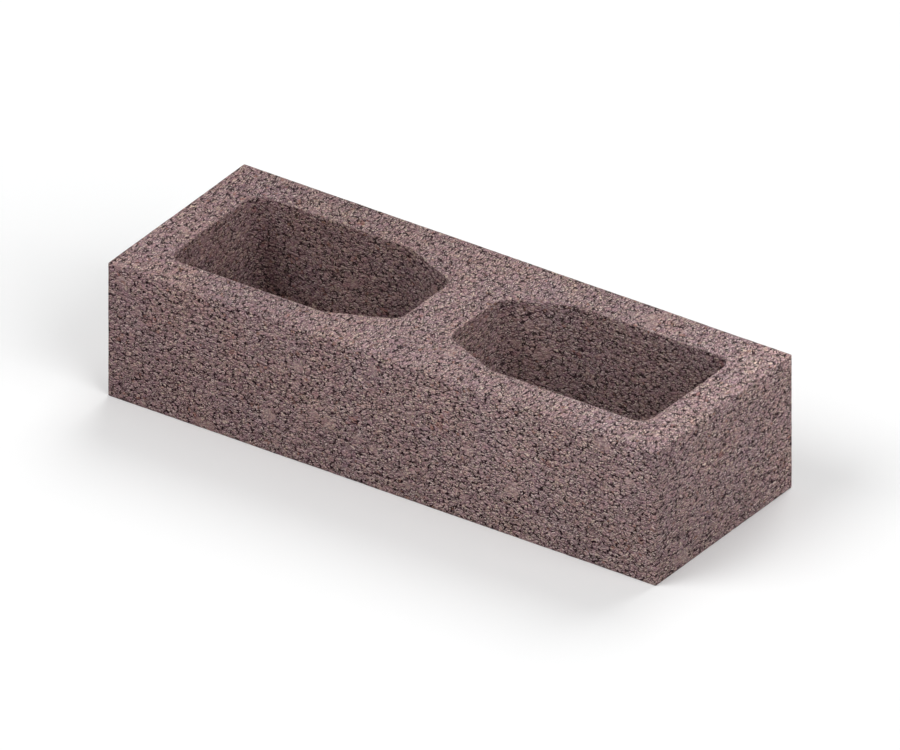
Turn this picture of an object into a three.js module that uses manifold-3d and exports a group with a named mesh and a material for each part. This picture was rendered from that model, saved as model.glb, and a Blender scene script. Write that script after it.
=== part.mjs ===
// Half-height hollow masonry block of vibro-pressed, pigmented concrete.
//
// The block is one solid. Two upright cores run right through it, from the upper bed face to the
// lower one. A core is square-ended towards the head of the block. Towards the middle its sides
// close in, so the web between the cores flares out to meet the long walls. The core walls lean in
// a little on the way down, which is the draft that lets the mould's core bars lift out.
//
// Frame: millimetres, +X along the block, +Y across it, +Z up. The origin is the centre of the
// lower bed face.

import * as THREE from "three";
import { mergeVertices } from "three/addons/utils/BufferGeometryUtils.js";
import Module from "manifold-3d";

// ---------------------------------------------------------------------------
// Driving dimensions, in millimetres
// ---------------------------------------------------------------------------

const blockLength = 390; // a 400 mm module, less one 10 mm mortar joint
const blockWidth = 140; // a 150 mm module, less the joint
const blockHeight = 90; // a 100 mm course, less the joint

const sideWall = 25; // the long outer walls, measured at the upper bed face
const endWall = 25; // the walls at the two heads
const webThickness = 35; // the wall between the cores, at its thinnest

const flareLength = 42.5; // along the block, from the web to where a core's sides turn in
const flareDepth = 18.5; // how far each side has closed in where it reaches the web
const coreCorner = 10; // fillet in the upright corners of a core
const coreDraft = 1; // how far a core wall leans in over the height of the block

const arris = 0.6; // rounding round both bed faces and round the core mouths
const uprightArris = 0.6; // rounding of the four upright outer corners

// How finely curves are cut into flats, and how far a cutter reaches past the face it opens
const flatsPerQuarterTurn = 6;
const flatsPerArris = 2;
const overcut = 5;

const quarterTurn = Math.PI / 2;

// ---------------------------------------------------------------------------
// Outlines
// ---------------------------------------------------------------------------

// A convex, counter-clockwise polygon with every side moved inwards by `inset`, or outwards where
// it is negative.
function insetPolygon(corners, inset) {
  const count = corners.length;
  const sides = corners.map((corner, i) => {
    const along = corners[(i + 1) % count].clone().sub(corner).normalize();
    const inwards = new THREE.Vector2(-along.y, along.x);
    return { along, point: corner.clone().addScaledVector(inwards, inset) };
  });
  return sides.map((side, i) => {
    const before = sides[(i + count - 1) % count];
    const gap = side.point.clone().sub(before.point);
    const travel = gap.cross(side.along) / before.along.cross(side.along);
    return before.point.clone().addScaledVector(before.along, travel);
  });
}

// The points of that polygon with each corner rounded to `radius`. A corner gets as many flats as
// its turn asks for, so the outlines of one family match point for point.
function roundedOutline(corners, radius) {
  const count = corners.length;
  return corners.flatMap((corner, i) => {
    const arriving = corner.clone().sub(corners[(i + count - 1) % count]).normalize();
    const leaving = corners[(i + 1) % count].clone().sub(corner).normalize();
    const turn = Math.acos(THREE.MathUtils.clamp(arriving.dot(leaving), -1, 1));
    const start = corner.clone().addScaledVector(arriving, -radius * Math.tan(turn / 2));
    const centre = start.clone().add(new THREE.Vector2(-arriving.y, arriving.x).multiplyScalar(radius));
    const from = Math.atan2(start.y - centre.y, start.x - centre.x);
    const arc = new THREE.EllipseCurve(centre.x, centre.y, radius, radius, from, from + turn);
    const flats = Math.ceil((turn / quarterTurn) * flatsPerQuarterTurn - 1e-6);
    return arc.getPoints(flats);
  });
}

// ---------------------------------------------------------------------------
// Solids
// ---------------------------------------------------------------------------

// A closed skin through level outlines, lowest first: [{ z, outline }, ...], capped at both ends.
function loft(levels) {
  const count = levels[0].outline.length;
  const positions = levels.flatMap(({ z, outline }) => outline.flatMap((p) => [p.x, p.y, z]));
  const faces = [];
  for (let level = 0; level + 1 < levels.length; level++) {
    for (let i = 0; i < count; i++) {
      const low = level * count;
      const high = low + count;
      const next = (i + 1) % count;
      faces.push(low + i, low + next, high + next);
      faces.push(low + i, high + next, high + i);
    }
  }
  const top = (levels.length - 1) * count;
  for (const [a, b, c] of THREE.ShapeUtils.triangulateShape(levels[0].outline, [])) {
    faces.push(c, b, a);
    faces.push(top + a, top + b, top + c);
  }
  const geometry = new THREE.BufferGeometry();
  geometry.setAttribute("position", new THREE.Float32BufferAttribute(positions, 3));
  geometry.setIndex(faces);
  return geometry;
}

// The rounding of an edge at a bed face, from the face inwards: how deep each step lies below the
// face, and how far it is set back from the full section.
const arrisSteps = Array.from({ length: flatsPerArris + 1 }, (_, i) => {
  const turn = (i / flatsPerArris) * quarterTurn;
  return { depth: arris * (1 - Math.cos(turn)), setBack: arris * (1 - Math.sin(turn)) };
});

// The outer form: a rectangular prism, rounded at its upright corners and round both bed faces.
function outerForm() {
  const x = blockLength / 2;
  const y = blockWidth / 2;
  const corners = [
    new THREE.Vector2(-x, -y),
    new THREE.Vector2(x, -y),
    new THREE.Vector2(x, y),
    new THREE.Vector2(-x, y),
  ];
  const level = (z, inset) => ({ z, outline: roundedOutline(insetPolygon(corners, inset), uprightArris) });
  const lower = arrisSteps.map(({ depth, setBack }) => level(depth, setBack));
  const upper = arrisSteps.map(({ depth, setBack }) => level(blockHeight - depth, setBack));
  return loft([...lower, ...upper.reverse()]);
}

// The corners of the core on the +X side, at the upper bed face, before they are rounded.
function coreCorners() {
  const inner = webThickness / 2;
  const outer = blockLength / 2 - endWall;
  const side = blockWidth / 2 - sideWall;
  const turnIn = inner + flareLength;
  const closedIn = side - flareDepth;
  return [
    new THREE.Vector2(inner, -closedIn),
    new THREE.Vector2(turnIn, -side),
    new THREE.Vector2(outer, -side),
    new THREE.Vector2(outer, side),
    new THREE.Vector2(turnIn, side),
    new THREE.Vector2(inner, closedIn),
  ];
}

// The space of that core, a little longer than the block is high. Its wall leans by the draft, and
// opens out again at both mouths to round their edges.
function coreSpace() {
  const corners = coreCorners();
  const draftAt = (z) => coreDraft * (1 - z / blockHeight);
  const level = (z, inset) => ({ z, outline: roundedOutline(insetPolygon(corners, inset), coreCorner) });
  const mouthLevel = (z, setBack) => level(z, draftAt(z) - setBack);
  const lower = arrisSteps.map(({ depth, setBack }) => mouthLevel(depth, setBack));
  const upper = arrisSteps.map(({ depth, setBack }) => mouthLevel(blockHeight - depth, setBack));
  return loft([
    level(-overcut, draftAt(0) - arris),
    ...lower,
    ...upper.reverse(),
    level(blockHeight + overcut, -arris),
  ]);
}

// ---------------------------------------------------------------------------
// Boolean cuts
// ---------------------------------------------------------------------------

const manifold = await Module();
manifold.setup();

// A closed three.js geometry as a solid that can be cut.
function toSolid(geometry) {
  const merged = mergeVertices(geometry, 1e-4);
  return new manifold.Manifold(
    new manifold.Mesh({
      numProp: 3,
      vertProperties: new Float32Array(merged.attributes.position.array),
      triVerts: new Uint32Array(merged.index.array),
    }),
  );
}

// A cut solid as a three.js geometry again.
function toGeometry(solid) {
  const mesh = solid.getMesh();
  const geometry = new THREE.BufferGeometry();
  geometry.setAttribute("position", new THREE.Float32BufferAttribute(mesh.vertProperties, 3));
  geometry.setIndex(new THREE.Uint32BufferAttribute(mesh.triVerts, 1));
  geometry.computeVertexNormals();
  return geometry;
}

// ---------------------------------------------------------------------------
// The block
// ---------------------------------------------------------------------------

// The two cores are one form, the second turned half round about the middle of the block.
function hollowBlock() {
  const core = coreSpace();
  const otherCore = core.clone().rotateZ(Math.PI);
  const cut = toSolid(outerForm()).subtract(toSolid(core)).subtract(toSolid(otherCore));

  const concrete = new THREE.MeshStandardMaterial({ color: 0x7b6564, roughness: 0.95, metalness: 0 });
  const block = new THREE.Mesh(toGeometry(cut), concrete);
  block.name = "hollow_block";
  return block;
}

const part = new THREE.Group();
part.add(hollowBlock());

export default part;
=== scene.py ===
# %% [markdown]
# # A hollow concrete block, dressed in Blender
#
# The block is pressed in one mould from a stiff, pigmented mix. The mould leaves flat faces and
# straight arrises, but the mix is open: small grains lie packed against the mould, with dark gaps
# between them. The solid in the frame has the true size and the two cores, and it could be kept and
# only coloured. Its faces are too large to carry dents and pores, though, so this script builds the
# surface of the same block again in small, even cells, and gives it the look of the pressed mix.
#
# The first step loads the frame, which says what the solid is and where it stands, and sets up a
# way to read the solid's box, which later holds the relief inside it.

# %% Load the frame
import math

import bpy
import numpy as np
from mathutils import Matrix, Vector


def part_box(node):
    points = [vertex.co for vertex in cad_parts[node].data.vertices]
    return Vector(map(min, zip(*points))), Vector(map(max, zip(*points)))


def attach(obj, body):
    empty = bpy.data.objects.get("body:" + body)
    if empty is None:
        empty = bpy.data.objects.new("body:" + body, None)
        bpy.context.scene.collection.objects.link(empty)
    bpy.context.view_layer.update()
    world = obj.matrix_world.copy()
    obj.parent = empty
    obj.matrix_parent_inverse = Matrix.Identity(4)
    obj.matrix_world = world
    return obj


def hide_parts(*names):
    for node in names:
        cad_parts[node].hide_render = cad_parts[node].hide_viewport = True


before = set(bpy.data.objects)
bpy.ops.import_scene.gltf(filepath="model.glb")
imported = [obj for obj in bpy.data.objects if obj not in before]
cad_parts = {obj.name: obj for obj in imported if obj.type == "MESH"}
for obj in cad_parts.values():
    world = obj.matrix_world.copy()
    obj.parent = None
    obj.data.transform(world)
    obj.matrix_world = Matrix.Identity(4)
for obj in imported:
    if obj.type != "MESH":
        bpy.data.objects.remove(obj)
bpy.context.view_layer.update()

# %% [markdown]
# ## Sizes
#
# One mould gives every block of this kind the same few sizes. They could all be measured off the
# solid. Only the outer size is read from the frame, so the surface can't drift from the solid. The
# walls and the corners of the cores are plain numbers, in metres, as a mould maker would write them
# on a drawing, because from them each outline follows by a sum.

# %% Sizes
MM = 0.001

low_corner, high_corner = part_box("hollow_block")
length, width, height = (high_corner[i] - low_corner[i] for i in range(3))

side_wall = 25 * MM
end_wall = 25 * MM
web = 35 * MM
flare_length = 42.5 * MM
flare_depth = 18.5 * MM
core_corner = 10 * MM
core_draft = 1 * MM
arris = 0.6 * MM
upright_arris = 0.6 * MM
print("block", [round(v / MM, 1) for v in (length, width, height)], "mm")

# %% [markdown]
# ## Outlines with round corners
#
# From above, a core is a hole with six sides, square towards the head of the block and closing in
# towards the web, with a fillet in each corner. Half of the block is a rectangle with two corners
# barely rounded. Both could be drawn as curves and bevelled. One function that swaps each corner of
# a polygon for an arc serves both, and it knows which of its points is the middle of a corner, which
# the next step needs.

# %% Outlines
ARC_POINTS = 9


def rounded(corners, radii):
    """An outline with an arc of ARC_POINTS points at each corner, from the side before it to the side
    after it, and the place in the outline of each arc's middle point.

    On a corner that turns by t, the arc of radius r starts r * tan(t / 2) before the corner, and its
    centre lies r to the left of that point.
    """
    points = []
    for i, (corner, radius) in enumerate(zip(corners, radii)):
        arriving = corner - corners[i - 1]
        leaving = corners[(i + 1) % len(corners)] - corner
        arriving, leaving = (v / np.linalg.norm(v) for v in (arriving, leaving))
        turn = math.acos(float(arriving @ leaving))
        left = np.array([-arriving[1], arriving[0]])
        centre = corner - arriving * radius * math.tan(turn / 2) + left * radius
        angles = np.linspace(0, turn, ARC_POINTS)[:, None]
        points.append(centre + radius * (np.sin(angles) * arriving - np.cos(angles) * left))
    middles = np.arange(len(corners)) * ARC_POINTS + ARC_POINTS // 2
    return np.concatenate(points), middles


half = length / 2
side = width / 2
turn_in = web / 2 + flare_length
core_side = side - side_wall
core_end = half - end_wall
core_inner_side = core_side - flare_depth

core_corners = np.array([
    [web / 2, -core_inner_side],
    [turn_in, -core_side],
    [core_end, -core_side],
    [core_end, core_side],
    [turn_in, core_side],
    [web / 2, core_inner_side],
])
half_corners = np.array([[0, -side], [half, -side], [half, side], [0, side]])
core_outline, core_marks = rounded(core_corners, [core_corner] * len(core_corners))
half_outline, half_marks = rounded(half_corners, [0, upright_arris, upright_arris, 0])
print("core outline", len(core_outline), "points, half outline", len(half_outline), "points")

# %% [markdown]
# ## Two rails
#
# Each half of the block is a ring of concrete round one core. It could be cut out of a box with a
# boolean, which leaves long, thin triangles that can't carry relief. Here a closed section is carried
# round the core on two rails instead. The inner rail is the core's outline, and the outer rail is the
# outline of that half of the block. Both are divided corner to corner into the same number of
# steps, so the cells between them stay close to square. The last stretch of the outer rail is the
# middle of the web, where the two halves meet.

# %% Rails
CELL = 1.75 * MM
WEB_CELL = 2.3 * MM


def divided(outline, marks, counts, shoulders=None):
    """Points along a closed outline, each stretch from one mark to the next cut into equal steps by
    its length. The last point of a stretch is the first of the next, so it is left to that one. A
    stretch can begin and end with a shorter step, its shoulders, which keeps a small arc in shape."""
    pieces = []
    for i, count in enumerate(counts):
        start, end = marks[i], marks[(i + 1) % len(marks)]
        places = np.arange(start, end + 1 if end > start else end + 1 + len(outline)) % len(outline)
        stretch = outline[places]
        run = np.concatenate([[0], np.cumsum(np.linalg.norm(np.diff(stretch, axis=0), axis=1))])
        first, last = shoulders[i] if shoulders else (0, 0)
        even = np.linspace(first, run[-1] - last, count + 1 - (first > 0) - (last > 0))
        steps = np.unique(np.concatenate([[0], even, run[-1:]]))[:-1]
        pieces.append(np.stack([np.interp(steps, run, stretch[:, k]) for k in (0, 1)], axis=1))
    return np.concatenate(pieces)


stretch_counts = [
    round(half / CELL),
    round(width / CELL),
    round(half / CELL),
    round(width / WEB_CELL),
]
matching_corners = core_marks[[0, 2, 3, 5]]
shoulder = upright_arris * math.pi / 4
shoulders = [(0, shoulder), (shoulder, shoulder), (shoulder, 0), (0, 0)]
inner_rail = divided(core_outline, matching_corners, stretch_counts)
outer_rail = divided(half_outline, half_marks, stretch_counts, shoulders)
print("points on a rail", len(inner_rail))

# %% [markdown]
# ## Which way is out
#
# The arrises are set back from the walls, and the core walls lean in by a little, so the mould lets
# go. To move a point off its wall, its direction has to be known. It could be taken from the finished
# mesh, but the arrises are needed to make that mesh. On the rail it is simple: the direction to the
# neighbours, turned by a quarter. The ends of the web are given theirs one by one, because their
# neighbours stand round a corner. Along the web there is no outer wall, so there it is nothing.

# %% Outward directions
def outward(rail):
    """The unit normal of a counter-clockwise rail at each of its points, away from its middle: the
    direction from the point before to the point after, turned a quarter to the right."""
    along = np.roll(rail, -1, axis=0) - np.roll(rail, 1, axis=0)
    normal = np.stack([along[:, 1], -along[:, 0]], axis=1)
    return normal / np.linalg.norm(normal, axis=1, keepdims=True)


web_start = sum(stretch_counts[:3])
inner_normal = outward(inner_rail)
outer_normal = outward(outer_rail)
outer_normal[0] = [0, -1]
outer_normal[web_start] = [0, 1]
outer_normal[web_start + 1:] = 0
print("points along the web", len(outer_rail) - web_start)

# %% [markdown]
# ## The section
#
# Cut through a wall of the block and the cut is a rectangle: up the core wall, out over the upper
# bed face, down the outer wall and back under the lower bed face, with a tiny arc at each arris. A
# plain rectangle with a Bevel modifier could give the same. Written out as rows, it has the lean of
# the core wall in it too. A row follows the inner rail at share 0 and the outer rail at share 1, and
# keeps how far it is set back from each and how high it lies.

# %% Section rows
ARC_STEPS = 2
WALL_CELL = 1.03 * CELL
wall_rows = round(height / WALL_CELL)
face_rows = round(side_wall / CELL)


def section():
    """Rows of the section as columns: share between the rails, set-back from the inner rail, set-back
    from the outer rail, height.

    The core wall leans into the core by the draft times the share of the height that is left. On an
    arris of radius r, the set-back is r - r cos(t) and the drop below the face r - r sin(t), for t
    from 0 to a quarter turn.
    """
    t = np.linspace(0, math.pi / 2, ARC_STEPS + 1)
    set_back = arris * (1 - np.cos(t))
    drop = arris * (1 - np.sin(t))
    wall = np.linspace(arris, height - arris, wall_rows + 1)
    share = np.linspace(0, 1, face_rows + 1)[1:-1]

    def rows(share, inner, outer, z):
        return np.stack(np.broadcast_arrays(share, inner, outer, z), axis=1).astype(float)

    return np.concatenate([
        rows(0.0, set_back[::-1] - core_draft, 0.0, drop[::-1])[:-1],
        rows(0.0, -core_draft * (1 - wall / height), 0.0, wall),
        rows(0.0, set_back, 0.0, height - drop)[1:],
        rows(share, arris, arris, height),
        rows(1.0, 0.0, set_back[::-1], height - drop[::-1]),
        rows(1.0, 0.0, 0.0, wall[::-1])[1:-1],
        rows(1.0, 0.0, set_back, drop),
        rows(1 - share, arris - core_draft, arris, 0.0),
    ])


section_rows = section()
outer_rows = np.flatnonzero(section_rows[:, 0] == 1.0)
print("rows in the section", len(section_rows))

# %% [markdown]
# ## Sweep
#
# Carrying the section along both rails at once gives the skin of half a block. A curve with a bevel
# object could carry it too, but it follows one rail only, and here the wall has to widen where the
# web flares out. As arrays, every point is one blend of the two rails.

# %% Sweep
def swept():
    """Points of one half, rail by section: (1 - share) * (inner rail + its normal * set-back) + share *
    (outer rail - its normal * set-back), at the row's height."""
    share, inner_back, outer_back, z = section_rows.T[:, None, :, None]
    inner = inner_rail[:, None] + inner_normal[:, None] * inner_back
    outer = outer_rail[:, None] - outer_normal[:, None] * outer_back
    level = (1 - share) * inner + share * outer
    return np.concatenate([level, np.broadcast_to(z, level.shape[:2] + (1,))], axis=2)


grid = swept()
rail_count, row_count = grid.shape[:2]
print("grid of one half", rail_count, "by", row_count, "points")

# %% [markdown]
# ## Faces
#
# The grid closes on itself both ways, like the skin of a ring, so its faces are the cells between
# neighbours. Faces could be bridged loop by loop in the editor, but counting them off the grid makes
# them all at once. The real block is solid through the middle of its web, so the cells of the outer
# wall are left out there.

# %% Faces
def ring_faces(skip):
    """Quads between the neighbours of a grid that closes both ways, as places in its list of points,
    without the cells that skip marks."""
    along, across = np.meshgrid(*(np.arange(count) for count in skip.shape), indexing="ij")
    next_along, next_across = (along + 1) % skip.shape[0], (across + 1) % skip.shape[1]
    corners = [(along, across), (along, next_across), (next_along, next_across), (next_along, across)]
    return np.stack([a * skip.shape[1] + b for a, b in corners], axis=2)[~skip]


in_the_web = np.zeros((rail_count, row_count), bool)
in_the_web[web_start:, outer_rows[0]:outer_rows[-1]] = True
half_faces = ring_faces(in_the_web)
print("faces of one half", len(half_faces))

# %% [markdown]
# ## Both halves
#
# The block is the same from both ends, so the second half is the first turned half round. A Mirror
# modifier would do for the shape, but a turn keeps the faces pointing outwards with no more work. The
# real block is one solid, so the points where the halves meet are merged into one closed surface.

# %% Both halves
def merged(points, faces, step=0.001 * MM):
    """The same surface with points closer than a step made one, and points that no face uses left out."""
    used, faces = np.unique(faces, return_inverse=True)
    places = np.round(points[used] / step).astype(np.int64)
    _, first, same = np.unique(places, axis=0, return_index=True, return_inverse=True)
    return points[used][first], same.reshape(-1)[faces.reshape(-1)].reshape(-1, 4)


half_points = grid.reshape(-1, 3)
turned_points = half_points * [-1, -1, 1]
points, quads = merged(
    np.concatenate([half_points, turned_points]),
    np.concatenate([half_faces, half_faces + len(half_points)]),
)
print("surface", len(points), "points", 2 * len(quads), "triangles")

# %% [markdown]
# ## Unevenness
#
# A mould presses the faces flat, but never quite: grains a few millimetres wide stand a hair's
# breadth back, and the whole face waves by about as much. A noise texture with a Displace modifier
# could do it. A noise worked out here from the place in space runs round every arris without a seam.
# It draws its numbers from whole-number places, so each run gives the same block.

# %% Unevenness
SCATTER = (73856093, 19349663, 83492791)
SALT_SCATTER = 2654435761
STIRS = ((29, 0xBF58476D1CE4E5B9), (32, 0x94D049BB133111EB))
STIR_ROUNDS = 2
WORD_BITS = 64
FRACTION_BITS = 24

LUMP_DEPTH, LUMP_SIZE, LUMP_SALT = 0.08 * MM, 3.5 * MM, 60
WAVE_DEPTH, WAVE_SIZE, WAVE_SALT = 0.1 * MM, 17 * MM, 61


def fraction(cubes, salt):
    """A repeatable fraction from 0 to 1 for each whole-number place: the three numbers are multiplied
    by large odd numbers and joined by exclusive or with the salt. Then they are stirred, which joins
    the word to itself shifted and multiplies it by another large number, and its first bits are kept."""
    x, y, z = (cubes[..., k].astype(np.int64).astype(np.uint64) * np.uint64(SCATTER[k]) for k in range(3))
    word = x ^ y ^ z ^ np.uint64(salt * SALT_SCATTER)
    for shift, factor in STIRS * STIR_ROUNDS:
        word = (word ^ (word >> np.uint64(shift))) * np.uint64(factor)
    return (word >> np.uint64(WORD_BITS - FRACTION_BITS)).astype(float) / 2.0**FRACTION_BITS


def soft_noise(places, size, salt):
    """Smooth noise from -1 to 1: the fractions at the eight corners of a cube of this size, blended by
    3 t^2 - 2 t^3 along each side."""
    scaled = places / size
    corner = np.floor(scaled)
    t = scaled - corner
    t = t * t * (3 - 2 * t)
    total = 0
    for step in np.ndindex(2, 2, 2):
        weight = np.prod(np.where(step, t, 1 - t), axis=1)
        total = total + weight * fraction(corner + step, salt)
    return 2 * total - 1


lumps = LUMP_DEPTH * (1 + soft_noise(points, LUMP_SIZE, LUMP_SALT))
waves = WAVE_DEPTH * (1 + soft_noise(points, WAVE_SIZE, WAVE_SALT))
print("lumps up to", round(lumps.max() / MM, 2), "mm, waves up to", round(waves.max() / MM, 2), "mm")

# %% [markdown]
# ## Holes and pebbles
#
# Here and there the mix didn't fill the mould and left a hole of a few millimetres, and here and
# there a larger pebble lies smooth in the face. Balls could be placed by hand and cut out. It is
# quicker to scatter them by a rule: space is divided into cubes, each cube hides one seed, and a
# small share of the seeds carries a ball. A soft noise sways the places first, so no ball is round.

# %% Holes and pebbles
SWAY_REACH, SWAY_SIZE, SWAY_SALT = 0.8 * MM, 3 * MM, 30
HOLES = dict(spacing=8 * MM, share=0.12, radius=(1.5 * MM, 3.2 * MM), salt=40)
PEBBLES = dict(spacing=13 * MM, share=0.12, radius=(3 * MM, 5.5 * MM), salt=50)


def nearest_seed(places, spacing, salt):
    """For each place, how far the nearest seed is and the seed's own fraction. Each cube of this
    spacing holds one seed, anywhere in it, and the cubes round a place are searched."""
    home = np.floor(places / spacing)
    best = np.full(len(places), np.inf)
    own = np.zeros(len(places))
    for step in np.ndindex(3, 3, 3):
        cube = home + np.array(step) - 1
        seed = np.stack([fraction(cube, salt + k) for k in range(3)], axis=1)
        distance = np.linalg.norm((cube + seed) * spacing - places, axis=1)
        closer = distance < best
        best = np.where(closer, distance, best)
        own = np.where(closer, fraction(cube, salt + 3), own)
    return best, own


def scattered_balls(places, spacing, share, radius, salt):
    """How far each place lies inside a ball, positive within it, and the ball's own fraction. A share
    of the seeds carries a ball, with radii spread evenly between the two given."""
    distance, own = nearest_seed(places, spacing, salt)
    within_share = own / share
    size = np.where(within_share < 1, radius[0] + (radius[1] - radius[0]) * within_share, -radius[1])
    return size - distance, within_share % 1


sway = np.stack([soft_noise(points, SWAY_SIZE, SWAY_SALT + k) for k in range(3)], axis=1)
swayed = points + SWAY_REACH * sway
inside_hole, _ = scattered_balls(swayed, **HOLES)
inside_pebble, pebble_tone = scattered_balls(swayed, **PEBBLES)
print("points in a hole", int((inside_hole > 0).sum()), "in a pebble", int((inside_pebble > 0).sum()))

# %% [markdown]
# ## Relief
#
# Put together, the lumps, waves and holes say how deep the surface lies behind the mould's flat
# face. All of it goes inwards, because concrete can't stand out past its mould. A Displace modifier
# could move the points, but arrays let the result be held inside the solid's own box. Relief finer
# than the cells of the mesh is left to the material.

# %% Relief
PEBBLE_EDGE = 0.8 * MM
PRESSED_FLAT = 0.12 * MM
DEEPEST_HOLE = 1.6 * MM


def point_normals(points, quads):
    """Unit normals at the points: the sum of the normals of the faces round each, a face's normal
    being the cross product of its diagonals."""
    a, b, c, d = (points[quads[:, k]] for k in range(4))
    face = np.cross(c - a, d - b)
    total = np.zeros_like(points)
    for k in range(4):
        np.add.at(total, quads[:, k], face)
    return total / np.linalg.norm(total, axis=1, keepdims=True)


# A place is pebble from 0 at its outline to 1 well inside it. Dents are lumps, fewer on a pebble, and
# waves, less what the mould has pressed flat. Holes stop at a pebble and at the deepest hole.
normals = point_normals(points, quads)
pebble = np.clip(inside_pebble / PEBBLE_EDGE, 0, 1)
dents = np.maximum(lumps * (1 - pebble) + waves - PRESSED_FLAT, 0)
holes = np.clip(inside_hole, 0, DEEPEST_HOLE) * (1 - pebble)
depth = dents + holes
surface = np.clip(points - normals * depth[:, None], low_corner, high_corner)
print("relief up to", round(depth.max() / MM, 2), "mm deep, mean", round(depth.mean() / MM, 2))

# %% [markdown]
# ## Which face is which
#
# The bed faces, the heads and the core walls of the block look a little softer than its long walls,
# and each kind of face gets painted shade of its own strength. The material could find its face from
# the normal, but the relief bends the normals. The smooth surface from before the relief knows
# better, so each point is told there how far it faces up or down, how far it faces along the block,
# and whether it is in a core or on the rounded rim of one.

# %% Which face is which
CORE_MARGIN = 5 * MM
RIM_LEANS = (0.5, 0.99999)

bed = np.abs(normals[:, 2])
head = np.abs(normals[:, 0])
off_the_outside = (np.abs(points[:, :2]) < [half - CORE_MARGIN, side - CORE_MARGIN]).all(axis=1)
core = off_the_outside * (1 - bed)
rim = off_the_outside * (bed > RIM_LEANS[0]) * (bed < RIM_LEANS[1])
print("points on a bed face", int((bed > 0.5).sum()), "in a core", int((core > 0.5).sum()))

# %% [markdown]
# ## The mesh
#
# The block is one piece, and one mesh. It takes the solid's place in the frame: it rides on the same
# body and replaces the bare node. It could also be laid over the solid, but then the two would show
# through each other. Its shading is smooth, which hides the cells of the mesh and leaves the relief.

# %% Mesh
block_mesh = bpy.data.meshes.new("pressed_block")
block_mesh.from_pydata(surface.tolist(), [], quads.tolist())
for name, values in (
    ("void", inside_hole / MM),
    ("stone", inside_pebble / MM),
    ("stone_tone", pebble_tone),
    ("bed", bed),
    ("head", head),
    ("core", core),
    ("rim", rim),
):
    layer = block_mesh.attributes.new(name, "FLOAT", "POINT")
    layer.data.foreach_set("value", values.astype(np.float32))
block_mesh.polygons.foreach_set("use_smooth", [True] * len(block_mesh.polygons))
block_mesh.update()
block = bpy.data.objects.new("pressed_block", block_mesh)
bpy.context.scene.collection.objects.link(block)

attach(block, "root")
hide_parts("hollow_block")
print("mesh", len(block_mesh.vertices), "points", len(block_mesh.polygons), "faces")

# %% [markdown]
# ## The concrete
#
# The block is one mix all through, dyed in the mixer, so the whole mesh has one material. Its look
# could be a picture wrapped round the block, but that shows seams at the arrises and blurs up close.
# Shader nodes that work out a colour at each place have neither fault, and they run on through the
# cores. The steps up to the floor fill this one node tree.

# %% Concrete
concrete = bpy.data.materials.new("pressed_concrete")
concrete.use_nodes = True
tree = concrete.node_tree
block_mesh.materials.append(concrete)
print("nodes to start with", [made.name for made in tree.nodes])

# %% [markdown]
# ## Formulas as nodes
#
# The look of the mix follows from rules such as: a gap is wider where the mix is open, and less wide
# in a calm grain. Their nodes could be wired one by one in the editor, but such rules are sums, and
# sums read best as sums. So the result of a node is wrapped in a small class, and adding or
# multiplying two results makes the node that does it. The first field is the place itself. It comes
# from Object coordinates, which stay with the block when it is moved, and is turned into millimetres.

# %% Fields
class Field:
    """What a node works out at every place of the surface. The sum, difference, product or quotient
    of a field and another, or of a field and a plain number, is a field too."""

    def __init__(self, socket):
        self.socket = socket

    def __add__(self, other):
        return calc("ADD", self, other)

    def __sub__(self, other):
        return calc("SUBTRACT", self, other)

    def __rsub__(self, other):
        return calc("SUBTRACT", other, self)

    def __mul__(self, other):
        return calc("MULTIPLY", self, other)

    def __truediv__(self, other):
        return calc("DIVIDE", self, other)

    __radd__ = __add__
    __rmul__ = __mul__


def tree_of(*values):
    """The node tree that works out the first field among the values."""
    return next(value.socket.id_data for value in values if isinstance(value, Field))


def node(tree, kind, settings=None, **inputs):
    """A new node's results, by name or by place. An input is linked where a field is given and set
    where a value is. It is named by its place, as i0, or by its name with spaces as underscores."""
    made = tree.nodes.new(kind)
    for name, value in (settings or {}).items():
        setattr(made, name, value)
    for name, value in inputs.items():
        key = int(name[1:]) if name[0] == "i" and name[1:].isdigit() else name.replace("_", " ")
        if isinstance(value, Field):
            tree.links.new(value.socket, made.inputs[key])
        else:
            made.inputs[key].default_value = value
    return {key: Field(out) for place, out in enumerate(made.outputs) for key in (place, out.name)}


def has_parts(value):
    """Whether a value has three parts, as a place and a colour do."""
    return isinstance(value, tuple) or isinstance(value, Field) and value.socket.type != "VALUE"


def calc(operation, a, b):
    """A Math node's result, or a Vector Math node's where a value has three parts. A plain number
    beside such a value stands for all three."""
    kind = "ShaderNodeMath"
    if has_parts(a) or has_parts(b):
        kind = "ShaderNodeVectorMath"
        a, b = (value if isinstance(value, (Field, tuple)) else (value,) * 3 for value in (a, b))
    return node(tree_of(a, b), kind, {"operation": operation}, i0=a, i1=b)[0]


place = node(tree, "ShaderNodeTexCoord")["Object"] * (1 / MM)
print("place in mm comes from", place.socket.node.name)

# %% [markdown]
# ## Each face laid flat
#
# The mould presses the grains level, so a face shows them side by side, each at its full width.
# Cells in space would be sliced at random, and some would show as slivers. So each face is laid
# flat by the two coordinates that run along it. The third is added in with a slant, or both side
# walls would carry the same pattern. A grain looks a little wider than it is high, so the
# coordinates are stretched to match.

# %% Each face laid flat
GRAIN_SHAPE = (0.75, 0.85, 0.66)
BED_FROM = 0.6
HEAD_FROM = 0.7
SLANT = 0.5


def attribute(name):
    """A value that the mesh carries at its points."""
    return node(tree, "ShaderNodeAttribute", {"attribute_name": name})["Fac"]


def parts(field):
    """The three parts of a place or a colour."""
    made = node(tree_of(field), "ShaderNodeSeparateXYZ", None, Vector=field)
    return made["X"], made["Y"], made["Z"]


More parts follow.
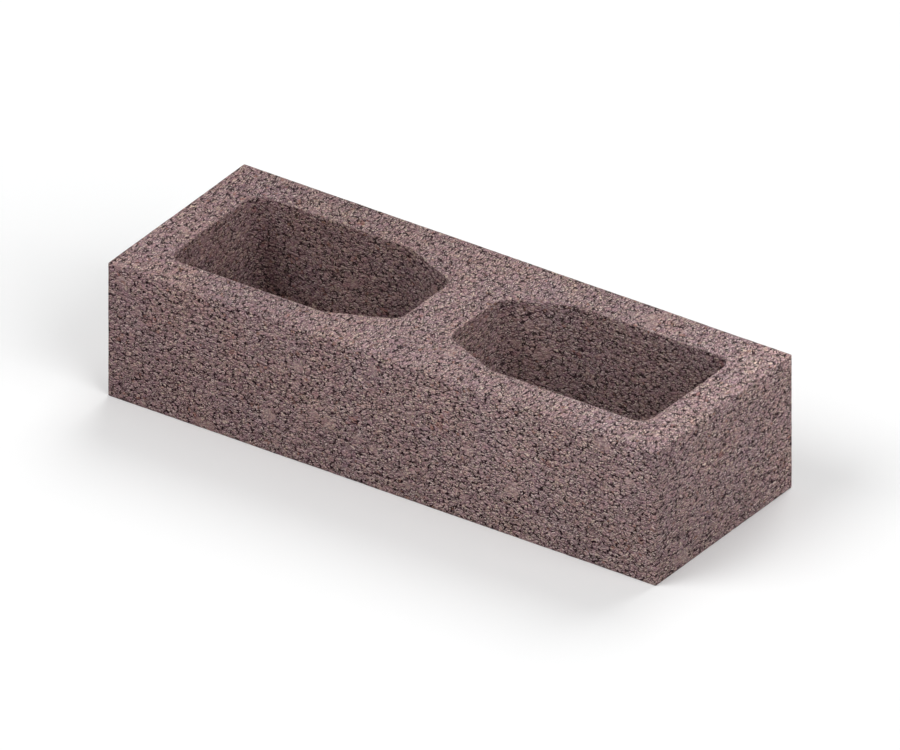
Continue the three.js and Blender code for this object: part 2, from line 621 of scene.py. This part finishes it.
def flat_place(x, y):
    """A place on a flat face."""
    return node(tree, "ShaderNodeCombineXYZ", None, X=x, Y=y, Z=0.0)[0]


def pick(choice, off, on):
    """The value off where the choice is 0 and on where it is 1: off + choice * (on - off)."""
    return off + choice * (on - off)


bed_share, head_share, core_share, rim_share = (attribute(name) for name in ("bed", "head", "core", "rim"))
on_bed = calc("GREATER_THAN", bed_share, BED_FROM)
on_head = calc("GREATER_THAN", head_share, HEAD_FROM)

x, y, z = parts(place)
along = (x + y * SLANT) / GRAIN_SHAPE[0]
across = (y + x * SLANT) / GRAIN_SHAPE[1]
along_bed = (x + z * SLANT) / GRAIN_SHAPE[0]
flat = flat_place(
    pick(on_bed, pick(on_head, along, across), along_bed),
    pick(on_bed, z / GRAIN_SHAPE[2], y / GRAIN_SHAPE[1]),
)
grain_place = place / GRAIN_SHAPE
print("nodes to lay the faces flat", len(tree.nodes))

# %% [markdown]
# ## Bent cells
#
# Voronoi cells have straight sides, and crushed grains don't. Finer cells could be piled up until
# the sides look ragged, but bending the place first does it at once: a small noise frays the sides,
# and a wide one makes the cells larger here and smaller there, as the grains of a mix are.

# %% Bent cells
BENDS = (
    dict(scale=0.35, detail=2.0, roughness=0.6, reach=1.2),
    dict(scale=0.11, detail=1.0, roughness=0.5, reach=4.5),
)
MIDDLE = 0.5


def noise(place, scale, detail, roughness, dimensions="3D"):
    """A noise texture's results: the number Fac and the three numbers of Color, all round the middle
    of 0 and 1. A larger scale is a finer noise."""
    return node(
        tree_of(place), "ShaderNodeTexNoise", {"noise_dimensions": dimensions},
        Vector=place, Scale=scale, Detail=detail, Roughness=roughness,
    )


bent = flat
for bend in BENDS:
    shift = noise(flat, bend["scale"], bend["detail"], bend["roughness"], "2D")["Color"] - MIDDLE
    bent = bent + shift * bend["reach"]
print("bends", len(BENDS))

# %% [markdown]
# ## Three sizes of grain
#
# A block mix holds grains of every size, from fine gravel down to sand, and the small ones fill the
# room between the large. A single pattern of cells looks like paving. Three patterns over each other,
# each about half as wide as the one before, look like a mix. Every cell has a colour of its own, and
# its parts serve as chance numbers for that grain.

# %% Three sizes of grain
ACROSS = dict(grain=5.1, crumb=2.4, sand=1.35)


def cells(place, across, feature="F1"):
    """Flat Voronoi cells of this width."""
    return node(
        tree_of(place), "ShaderNodeTexVoronoi", {"feature": feature, "voronoi_dimensions": "2D"},
        Vector=place, Scale=1 / across,
    )


cell = {name: cells(bent, across) for name, across in ACROSS.items()}
chance = {name: parts(cell[name]["Color"]) for name in ACROSS}
print("grains across", ACROSS, "mm")

# %% [markdown]
# ## Which side of a grain faces up
#
# A grain stands out of the face as a low dome. Its upper side catches light and is pale, and the gap
# under it is wide and dark. The lamps alone could show that, by bump, but a bump strong enough makes
# the whole face restless. So the slope of each dome is worked out too, and the tone and the gaps
# follow it. On the bed faces, which lie level, the slope is taken along the block. This light and
# dark is painted, so it stays as it is when the lamps move: that is the price of its crispness.

# %% Which side of a grain faces up
# How far the painted light looks for the height, in cells: up on the walls, along +X on the bed faces
STEP_UP = 0.45
STEP_ALONG = 0.405


def dome(cell):
    """The height of a grain that is highest at the seed of its cell: -(distance from the seed) ^ 2."""
    return calc("POWER", cell["Distance"], 2.0) * -1.0


stepped = bent + flat_place(pick(on_bed, 0.0, STEP_ALONG), pick(on_bed, STEP_UP, 0.0))
raised = {name: dome(cell[name]) for name in ACROSS}
painted_light_slope = {name: raised[name] - dome(cells(stepped, across)) for name, across in ACROSS.items()}
print("nodes so far", len(tree.nodes))

# %% [markdown]
# ## Open and torn places
#
# The face of the block isn't even. In some places it is open, with wide gaps. In some it looks torn:
# the grains stand bare, with deep gaps and strong contrast. Others are smooth. Such places could be
# painted as a mask, but noise a few grains wide has the same uneven edges. The relief adds its
# part: more gaps round a hole, and weaker ones on a pebble. Some grains are calm as well, whole and
# plain, and others are wild and full of small gaps.

# %% Open and torn places
# Scales of the noises, and the first two's shares of the openness
WIDE_OPEN, WIDE_OPEN_SHARE = 0.12, 0.06
NEAR_OPEN, NEAR_OPEN_SHARE = 0.36, 0.94
TORN = 0.28
DETAIL, ROUGHNESS = 2.0, 0.6
# A hole opens the mix from 1 mm outside its edge to 1 mm inside
HOLE_EDGE, HOLE_OPENS = (-1.0, 1.0), 0.05
# From the smooth skin to the bare grains, and what the gaps and the contrast are at each
SMOOTH_TO_BARE = (0.42, 0.58)
GAP_DEPTHS, CONTRASTS = (0.71, 1.0), (0.6, 1.68)
TORN_FROM = (0.556, 0.63)
# What a core wall, a bed face and a head take off both
SOFTER_CORE, SOFTER_BED, SOFTER_HEAD = 0.05, 0.04, 0.025
CALM_FROM, WILD_TO_CALM = (0.45, 0.75), (-0.5, 1.0)


def step_between(value, low, high, to_low=0.0, to_high=1.0):
    """A smooth step: to_low up to low, to_high from high on."""
    return node(
        tree_of(value), "ShaderNodeMapRange", {"interpolation_type": "SMOOTHSTEP"},
        Value=value, From_Min=low, From_Max=high, To_Min=to_low, To_Max=to_high,
    )[0]


wide_open = noise(grain_place, WIDE_OPEN, DETAIL, ROUGHNESS)["Fac"] * WIDE_OPEN_SHARE
near_open = noise(grain_place, NEAR_OPEN, DETAIL, ROUGHNESS)["Fac"] * NEAR_OPEN_SHARE
openness = wide_open + near_open + step_between(attribute("void"), *HOLE_EDGE) * HOLE_OPENS
bareness = noise(grain_place, TORN, DETAIL, ROUGHNESS)["Fac"]
softer = 1.0 - core_share * SOFTER_CORE - on_bed * SOFTER_BED - on_head * SOFTER_HEAD
gap_depth = step_between(bareness, *SMOOTH_TO_BARE, *GAP_DEPTHS) * softer
contrast = step_between(bareness, *SMOOTH_TO_BARE, *CONTRASTS) * softer
torn = step_between(bareness, *TORN_FROM)
calm = step_between(chance["grain"][2], *CALM_FROM, *WILD_TO_CALM)
print("contrast from a smooth place to a torn one", CONTRASTS)

# %% [markdown]
# ## Gaps
#
# Between the grains the face is open, and the gaps are so deep that little light comes back. They
# could be cut into the mesh, which would take millions of points. At their width, a millimetre or
# less, a dark line does as well: its dark is painted shade, the shade inside a deep gap. A Voronoi
# texture knows how far a place is from the edge of its cell, and a gap is where that is less than
# half the gap's width. What matters is that the width keeps changing, and that the gaps are widest
# on the side of a grain that faces away from the light, which is a painted shadow: under a grain on
# the walls, and on its -X side on the bed faces.

# %% Gaps
GAPS = dict(
    grain=dict(opens_at=0.43, growth=0.38, widest=0.11, painted_shade_widening=1.2, calmed=0.0),
    crumb=dict(opens_at=0.427, growth=0.38, widest=0.135, painted_shade_widening=0.9, calmed=0.055),
    sand=dict(opens_at=0.44, growth=0.5, widest=0.16, painted_shade_widening=0.65, calmed=0.08),
)
FROM_SEED, AT_CORNERS = 0.45, 0.2
TORN_WIDER = 0.32
GAP_EDGE = 0.01
# A pebble's gaps are half as dark, and those on the rim of a core three quarters as dark
PEBBLE_FROM, PEBBLE_PALER = (0.0, 0.4), 0.5
RIM_PALER = 0.25


def gap(name, opens_at, growth, widest, painted_shade_widening, calmed):
    """How far a place lies in a gap, from 0 to 1. Half the gap's width, in cells, is (openness -
    opens_at) * growth, less in a calm grain, more towards the corners of a cell, and more on the
    side of a grain that faces away from the light, a painted shadow; at most the widest, and more
    again where the skin is torn. From it goes the distance to the edge of the cell, and what is left
    is made 0 or 1 with a narrow soft edge."""
    width = (openness - opens_at) * growth - calm * calmed
    # A gap widens on the shaded side of a grain: painted shadow under it
    width = width + (cell[name]["Distance"] - FROM_SEED) * AT_CORNERS - painted_light_slope[name] * painted_shade_widening
    width = calc("MINIMUM", width, widest) + torn * (TORN_WIDER / ACROSS[name])
    inside = width - cells(bent, ACROSS[name], "DISTANCE_TO_EDGE")["Distance"]
    return step_between(inside, -GAP_EDGE, GAP_EDGE)


grain_gap, crumb_gap, sand_gap = (gap(name, **values) for name, values in GAPS.items())
any_gap = calc("MAXIMUM", calc("MAXIMUM", grain_gap, crumb_gap), sand_gap)
on_pebble = step_between(attribute("stone"), *PEBBLE_FROM)
# How much a place shows the painted shade of a gap
painted_gap_shade = any_gap * (1.0 - on_pebble * PEBBLE_PALER) * gap_depth * (1.0 - rim_share * RIM_PALER)
print("gaps between", ", ".join(GAPS))

# %% [markdown]
# ## Tone
#
# Between the gaps, no two grains are equally pale. A ramp over one noise would look like marble. The
# tone is a sum instead: a little for each large grain and each crumb, a lot for the sand, a fine noise
# for what is too small to have an outline, and painted light on the side of a grain that faces up.
# The whole sum is then made stronger or weaker by the contrast of the place, and runs through the
# tones of the pigmented mix.

# %% Tone
GRAIN_SPREAD, CRUMB_SPREAD, SAND_SPREAD, FINE_SPREAD = 0.08, 0.2, 0.62, 1.08
FINE, FINE_DETAIL, FINE_ROUGHNESS = 1.3, 1.0, 0.7
CALM_EVENS, CALM_DARKENS, TORN_PALER = 0.3, 0.1, 0.15
PAINTED_LIGHT_ON_LIT_SIDE = dict(grain=0.2, crumb=0.45, sand=1.15)
MIX_TONES = [
    (0.0, (121, 97, 106)),
    (0.25, (163, 132, 138)),
    (0.5, (190, 163, 164)),
    (0.75, (209, 190, 187)),
    (1.0, (243, 231, 218)),
]


def from_srgb(red, green, blue):
    """A colour as it looks on a screen, 0 to 255, as the linear values that nodes use: a share s is
    s / 12.92 near black, and ((s + 0.055) / 1.055) ^ 2.4 above."""
    shares = (value / 255 for value in (red, green, blue))
    return tuple(s / 12.92 if s <= 0.04045 else ((s + 0.055) / 1.055) ** 2.4 for s in shares)


def linear(stops):
    """Stops whose colours are as on a screen, with the values that nodes use."""
    return [(position, from_srgb(*stop)) for position, stop in stops]


def ramp(value, stops):
    """A colour that runs through (position, linear colour) stops as the value rises."""
    colour = node(tree_of(value), "ShaderNodeValToRGB", None, Fac=value)["Color"]
    elements = colour.socket.node.color_ramp.elements
    while len(elements) < len(stops):
        elements.new(MIDDLE)
    for element, (position, stop) in zip(elements, stops):
        element.position = position
        element.color = (*stop, 1)
    return colour


fine = noise(grain_place, FINE, FINE_DETAIL, FINE_ROUGHNESS)["Fac"]
spread = (chance["grain"][0] - MIDDLE) * GRAIN_SPREAD + (chance["crumb"][0] - MIDDLE) * CRUMB_SPREAD
spread = spread + (chance["sand"][0] - MIDDLE) * SAND_SPREAD * (1.0 - calm * CALM_EVENS)
spread = spread + (fine - MIDDLE) * FINE_SPREAD + torn * TORN_PALER - calm * CALM_DARKENS
# Painted light: the side of a grain towards the pretended light is paler
for name, paler in PAINTED_LIGHT_ON_LIT_SIDE.items():
    spread = spread + painted_light_slope[name] * paler
tone = spread * contrast + MIDDLE
colour = ramp(tone, linear(MIX_TONES))
print("nodes so far", len(tree.nodes))

# %% [markdown]
# ## Coloured grains
#
# The pigment dyes the cement, but sand and gravel keep colours of their own: tan, pink, purple grey
# and cream, and here and there a chip of brick. Painting them one by one would take for ever. Each
# tint is given to the cells whose chance number lies in its range, so that it covers whole grains,
# and its share says how much of it shows through the cement.

# %% Coloured grains
def mix(share, a, b):
    """A colour between a, at share 0, and b, at share 1."""
    a, b = (value if isinstance(value, Field) else (*value, 1) for value in (a, b))
    return node(tree_of(share, a, b), "ShaderNodeMix", {"data_type": "RGBA"}, i0=share, i6=a, i7=b)[2]


warmth = chance["crumb"][0] + chance["crumb"][1]
coolness = chance["sand"][1] - chance["sand"][0]
tints = (
    # tint, chance number, from where it starts, to where it is full, share, colour
    ("tan", warmth, 1.0, 1.7, 0.43, (215, 187, 164)),
    ("purple grey", coolness, 0.0, 0.7, 0.24, (159, 143, 152)),
    ("brick pink", chance["crumb"][1], 0.15, 0.0, 0.26, (176, 131, 124)),
    ("rose", chance["grain"][1], 0.5, 1.0, 0.18, (194, 156, 153)),
    ("pale sand", chance["sand"][2], 0.85, 0.97, 0.7, (236, 220, 208)),
    ("ivory crumb", chance["crumb"][2], 0.03, 0.022, 0.7, (236, 222, 200)),
    ("cream sand", chance["sand"][2], 0.976, 0.98, 0.8, (240, 230, 208)),
    ("brick chip", chance["grain"][1], 0.004, 0.003, 0.5, (158, 98, 86)),
    ("ochre crumb", chance["crumb"][2], 0.982, 0.988, 0.6, (176, 128, 104)),
)
for tint, number, start, full, share, grain_colour in tints:
    colour = mix(step_between(number, start, full, 0.0, share), colour, from_srgb(*grain_colour))
print("tints", ", ".join(tint[0] for tint in tints))

# %% [markdown]
# ## Pebbles and broad stains
#
# A pebble in the face shows some of its own colour, and the mix is not quite one colour all over. Such
# stains could be painted on by hand. A broad noise reaches every face at once, and it tints the
# surface by a few parts in a hundred, which is felt more than seen, and keeps the block from looking
# like plastic.

# %% Pebbles and broad stains
PEBBLE_SHOWS = 0.25
PEBBLE_TONES = [(0.0, (132, 110, 108)), (0.5, (158, 134, 128)), (1.0, (186, 164, 150))]
BROAD, BROAD_DETAIL = 0.03, 3.0
STAINS = [(0.35, (249, 240, 245)), (0.65, (254, 242, 240))]

pebble_colour = ramp(attribute("stone_tone"), linear(PEBBLE_TONES))
colour = mix(on_pebble * PEBBLE_SHOWS, colour, pebble_colour)
broad = noise(place, BROAD, BROAD_DETAIL, ROUGHNESS)["Fac"]
colour = colour * ramp(broad, linear(STAINS))
print("nodes so far", len(tree.nodes))

# %% [markdown]
# ## Painted light and shade over each face
#
# No face of the block is equally bright from end to end, and the faces aren't equally bright to each
# other. Here that is painted light and shade, the way the light falls on the block, not its own tint.
# Some of that may be its own tint and some the light it stands in, and one look at it can't tell the
# two apart. Lamps could make it, but each lamp reaches several faces at once. So ramps along the
# block paint light on its walls and bed faces, the walls and heads are painted darker than the bed
# faces, and slopes of painted shade run across the bed faces and heads. Everything is also darker
# towards the foot. These numbers weren't worked out from a cause: they were set step by step until
# each part of the block looked right under these lamps. They aren't small. Along a bed face the level
# runs from 0.74 to 1.11, and as it is painted, it stays so in any other light. For other lamps, set
# the stops nearer to 1.

# %% Painted light and shade over each face
# Painted shade: walls, heads and core walls darker than the bed faces, by how far a place faces up
WALL_PAINTED_SHADE, BED_PAINTED_SHADE = (0.3, (0.8, 0.8, 0.805)), (0.9, (0.945, 0.965, 0.97))
# Painted light along the block, from its -X end to its +X end: on the walls and heads, then on the bed
# faces
WALL_PAINTED_LIGHT = [
    (0.0, (0.937, 0.897, 0.905)),
    (0.45, (1.038, 1.026, 1.03)),
    (0.7, (1.142, 1.152, 1.158)),
    (1.0, (1.078, 1.08, 1.08)),
]
BED_PAINTED_LIGHT = [
    (0.0, (0.848, 0.826, 0.83)),
    (0.22, (0.75, 0.742, 0.742)),
    (0.45, (0.893, 0.883, 0.883)),
    (0.73, (0.885, 0.895, 0.895)),
    (1.0, (1.108, 1.11, 1.11)),
]
# Painted shade on the heads: their level, and how much it changes from one side to the other
HEAD_PAINTED_SHADE, HEAD_SLOPE = 0.895, 0.1
# Painted light and shade across a bed face: how much paler its far side is than its middle, as the
# sum of two steps: between which places along the block each step lies, in mm, and what it adds
# before and after
LEFT_SLOPE = (-150.0, -20.0, -0.07, -0.03)
RIGHT_SLOPE = (120.0, 190.0, 0.0, 0.12)
# Everything is darker towards the foot: the level at the foot, and how much it rises to the top
FOOT_LEVEL, RISE = 0.892, 0.17
RIM_DARKER = 0.07
# The cores a little darker and redder: painted shade, and painted reddish light bounced between their
# walls
CORE_SHADE_AND_BOUNCE = (0.97, 0.96, 0.96)
WHITE = (1.0, 1.0, 1.0)

from_left_end = x / (length / MM) + MIDDLE
from_middle = y / (side / MM)
wall_painted_light = ramp(from_left_end, WALL_PAINTED_LIGHT)
bed_painted_light = ramp(from_left_end, BED_PAINTED_LIGHT)
bed_slope = step_between(x, *LEFT_SLOPE) + step_between(x, *RIGHT_SLOPE)
across_bed_painted_shade = from_middle * bed_slope + 1.0
head_painted_shade = from_middle * HEAD_SLOPE + HEAD_PAINTED_SHADE
height_level = z / (height / MM) * RISE + FOOT_LEVEL
# Painted light and shade: the level of each kind of face, the ramps along the block and the slopes
level = pick(on_head, pick(on_bed, 1.0, across_bed_painted_shade), head_painted_shade) * height_level
colour = colour * ramp(bed_share, [WALL_PAINTED_SHADE, BED_PAINTED_SHADE]) * mix(on_bed, wall_painted_light, bed_painted_light)
colour = colour * mix(core_share, WHITE, CORE_SHADE_AND_BOUNCE) * (level * (1.0 - rim_share * RIM_DARKER))
print("walls at the foot", FOOT_LEVEL, "and at the top", round(FOOT_LEVEL + RISE, 3))

# %% [markdown]
# ## The finished concrete
#
# Dry concrete is matt, with hardly a shine, so its roughness is high and its specular low, both set
# on the shader itself. The painted shade of the gaps is laid over everything else. The domes of the
# grains also go to a bump, because a pattern that is only painted goes flat when the lamps move. It
# is gentle, as the painted light in the tone already shows which side of a grain faces up.

# %% The finished concrete
# The colour of the gaps: painted shade, the dark inside a deep gap
GAP_SHADE_COLOUR = (32, 17, 23)
MATT = 0.9
FAINT_SHINE = 0.12
CRUMB_RAISED, SAND_RAISED = 0.8, 0.5
BUMP_DEPTH = 0.4 * MM

shader = tree.nodes["Principled BSDF"]
shader.inputs["Roughness"].default_value = MATT
shader.inputs["Specular IOR Level"].default_value = FAINT_SHINE
colour = mix(painted_gap_shade, colour, from_srgb(*GAP_SHADE_COLOUR))
bumps = raised["grain"] + raised["crumb"] * CRUMB_RAISED + raised["sand"] * SAND_RAISED
bump = node(tree, "ShaderNodeBump", None, Strength=1.0, Distance=BUMP_DEPTH, Height=bumps)[0]
tree.links.new(colour.socket, shader.inputs["Base Color"])
tree.links.new(bump.socket, shader.inputs["Normal"])
print("nodes in the concrete", len(tree.nodes))

# %% [markdown]
# ## Floor
#
# The block stands on a white floor that shows nothing but its shadow. A wide plane is all it takes. A
# floor as bright as paper would throw light back at the foot of the block, so it is a duller white to
# the light that bounces, and near full white where it is seen, whether straight, in a reflection or
# through glass.

# %% Floor
FLOOR_HALF = 6.0
FLOOR_BOUNCE_WHITE = (0.8, 0.8, 0.8)
FLOOR_SEEN_WHITE = (0.995, 0.999, 1.0)


def seen_directly(tree):
    """1 for light on its way to the camera, straight, in a reflection or through glass, 0 for light
    that lights other things."""
    path = node(tree, "ShaderNodeLightPath")
    seen = calc("MAXIMUM", path["Is Camera Ray"], path["Is Glossy Ray"])
    return calc("MAXIMUM", seen, path["Is Transmission Ray"])


floor_mesh = bpy.data.meshes.new("studio_floor")
floor_corners = [(x * FLOOR_HALF, y * FLOOR_HALF, 0) for x, y in ((-1, -1), (1, -1), (1, 1), (-1, 1))]
floor_mesh.from_pydata(floor_corners, [], [(0, 1, 2, 3)])
floor = bpy.data.objects.new("studio_floor", floor_mesh)
bpy.context.scene.collection.objects.link(floor)

floor_paint = bpy.data.materials.new("studio_white")
floor_paint.use_nodes = True
floor_tree = floor_paint.node_tree
white = mix(seen_directly(floor_tree), FLOOR_BOUNCE_WHITE, FLOOR_SEEN_WHITE)
diffuse = node(floor_tree, "ShaderNodeBsdfDiffuse", None, Color=white)[0]
floor_tree.links.new(diffuse.socket, floor_tree.nodes["Material Output"].inputs["Surface"])
floor_tree.nodes.remove(floor_tree.nodes["Principled BSDF"])
floor_mesh.materials.append(floor_paint)
print("floor", 2 * FLOOR_HALF, "m wide")

# %% [markdown]
# ## World
#
# White walls all round a studio fill the shadows and the depths of the cores with a soft, even
# light. A large lamp on each side could do that, but the world does it in one setting. Where the
# world itself is seen, it is plain white.

# %% World
WORLD_LIGHT = 0.246
WORLD_SEEN = 1.0

world = bpy.data.worlds.new("studio_world")
bpy.context.scene.world = world
world.use_nodes = True
world_tree = world.node_tree
strength = pick(seen_directly(world_tree), WORLD_LIGHT, WORLD_SEEN)
background = node(world_tree, "ShaderNodeBackground", None, Color=(*WHITE, 1), Strength=strength)[0]
world_output = world_tree.nodes.get("World Output") or world_tree.nodes.new("ShaderNodeOutputWorld")
world_tree.links.new(background.socket, world_output.inputs["Surface"])
print("world light", WORLD_LIGHT)

# %% [markdown]
# ## Lamps
#
# Three large softboxes light the block: one behind it, one at the front on the left and one on the
# right, and their soft shadows overlap. Area lamps would do, but their light falls off across
# the block. A sun lamp with a wide angle is as soft and lights all of it alike. A sun of strength pi
# shows a colour as it is written on a face turned to it, so each has a share of pi.

# %% Lamps
LAMPS = (
    # name, azimuth, elevation, width in degrees, share of pi
    ("rear_softbox", 185, 49, 37, 0.353),
    ("left_softbox", 321, 49, 37, 0.381),
    ("right_softbox", 78, 31.5, 50, 0.447),
)


def direction(azimuth, elevation):
    """The unit vector towards a place in the sky: azimuth 0 is in front, at -Y, and 90 at +X."""
    a, e = math.radians(azimuth), math.radians(elevation)
    return Vector((math.sin(a) * math.cos(e), -math.cos(a) * math.cos(e), math.sin(e)))


for name, azimuth, elevation, degrees_wide, share in LAMPS:
    lamp = bpy.data.lights.new(name, "SUN")
    lamp.energy = share * math.pi
    lamp.angle = math.radians(degrees_wide)
    lamp_object = bpy.data.objects.new(name, lamp)
    lamp_object.rotation_euler = direction(azimuth, elevation).to_track_quat("Z", "Y").to_euler()
    bpy.context.scene.collection.objects.link(lamp_object)
print("lamps", ", ".join(lamp[0] for lamp in LAMPS))

# %% [markdown]
# ## Camera
#
# A block is best shown with its edges parallel, from above one corner, so that both sides and both
# cores are seen. A long lens from far away comes close to that. An orthographic camera is exact, and
# its scale is a plain one: so many pixels to a metre. It points at the middle of the block.

# %% Camera
PIXELS_PER_METRE = 1709.2
FRAME_WIDTH = 900
CAMERA_AZIMUTH, CAMERA_ELEVATION = 34.703, 30.185
CAMERA_DISTANCE = 2.0

camera = bpy.data.cameras.new("camera")
camera.type = "ORTHO"
camera.ortho_scale = FRAME_WIDTH / PIXELS_PER_METRE
camera_object = bpy.data.objects.new("camera", camera)
bpy.context.scene.collection.objects.link(camera_object)
back = direction(CAMERA_AZIMUTH, CAMERA_ELEVATION)
middle = Vector((0, 0, height / 2))
stand = middle + back * CAMERA_DISTANCE
camera_object.matrix_world = Matrix.Translation(stand) @ back.to_track_quat("Z", "Y").to_matrix().to_4x4()
bpy.context.scene.camera = camera_object
bpy.context.scene.view_settings.view_transform = "Standard"
print("view", round(camera.ortho_scale / MM), "mm wide")
